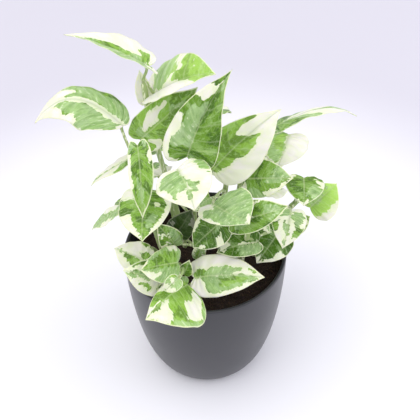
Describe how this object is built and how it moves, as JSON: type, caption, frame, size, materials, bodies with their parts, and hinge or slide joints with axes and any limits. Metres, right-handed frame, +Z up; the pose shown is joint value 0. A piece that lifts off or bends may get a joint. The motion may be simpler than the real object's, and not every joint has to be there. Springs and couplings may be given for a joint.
{
  "type": "potted marble queen pothos",
  "caption": "Pothos with heart-shaped leaves marbled green and cream, rooted as a bunch of upright leafy stems in a plain round charcoal pot that stands on its flat foot.",
  "frame": {"origin": "centre of the pot's underside, on the surface that it stands on", "axes": "+Z up along the pot's axis, -Y towards the front with the low leaves over the rim, +X to the right as seen from the front"},
  "size_m": [0.2415, 0.1864, 0.3154],
  "materials": {
    "pot": "satin charcoal, moulded smooth",
    "soil": "moist dark potting mix of peat, bark and fibre",
    "leaves": "waxy leaves marbled green and cream, with pale green stems"
  },
  "bodies": {
    "root": {"pot": "pot", "soil": "soil", "leafy_stem_back_left_tall": "leaves", "leafy_stem_left_tall": "leaves", "leafy_stem_centre_tall": "leaves", "leafy_stem_centre_right": "leaves", "leafy_stem_right_tall": "leaves", "leafy_stem_right_low": "leaves", "leafy_stem_front_right": "leaves", "leafy_stem_front_left": "leaves", "leafy_stem_front": "leaves", "leafy_stem_middle_low": "leaves", "leafy_stem_left_low": "leaves", "leafy_stem_back": "leaves", "leafy_stem_back_left": "leaves", "leafy_stem_back_right": "leaves"}
  },
  "joints": []
}
